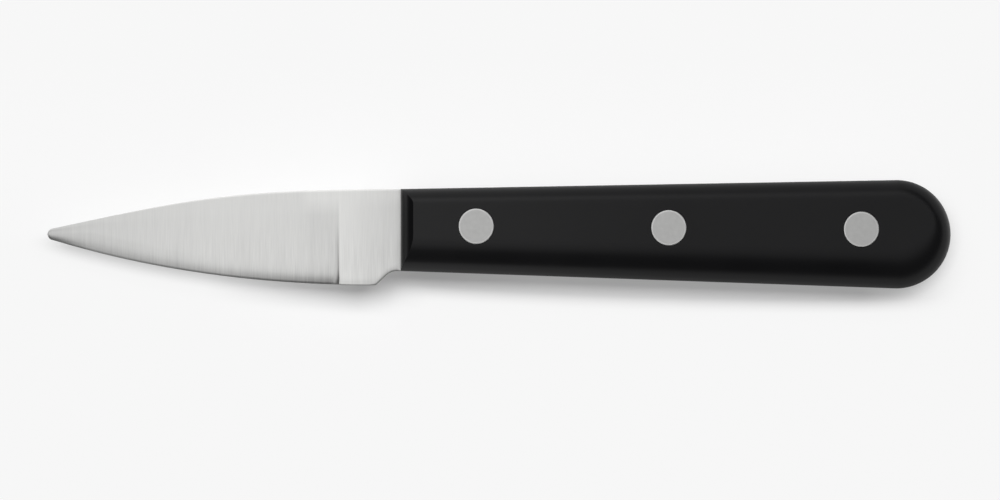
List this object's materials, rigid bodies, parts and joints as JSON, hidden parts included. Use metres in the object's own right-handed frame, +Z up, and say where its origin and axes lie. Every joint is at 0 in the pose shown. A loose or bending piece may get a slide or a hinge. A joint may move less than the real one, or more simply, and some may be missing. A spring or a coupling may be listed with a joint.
{
  "type": "oyster knife",
  "caption": "Short pointed steel blade with a blunt edge, a raised heel and a full tang, riveted between black plastic handle scales, for prising oysters open.",
  "frame": {"origin": "on the table that the knife lies on, below the middle of its length, with the knife's centre line from tip to butt at Y = 0", "axes": "+X along the knife from the tip to the butt, +Y across it towards the spine, +Z up through its thickness, out of the left side that faces the viewer"},
  "size_m": [0.153, 0.0184, 0.012],
  "materials": {
    "blade_steel": "stainless steel, fine ground across the blade",
    "handle_plastic": "black moulded acetal, satin",
    "rivet_steel": "stainless steel, ground flush and polished"
  },
  "bodies": {
    "root": {"blade_with_tang": "blade_steel", "left_scale": "handle_plastic", "right_scale": "handle_plastic", "front_rivet_socket": "rivet_steel", "front_rivet_pin": "rivet_steel", "middle_rivet_socket": "rivet_steel", "middle_rivet_pin": "rivet_steel", "rear_rivet_socket": "rivet_steel", "rear_rivet_pin": "rivet_steel"}
  },
  "joints": []
}
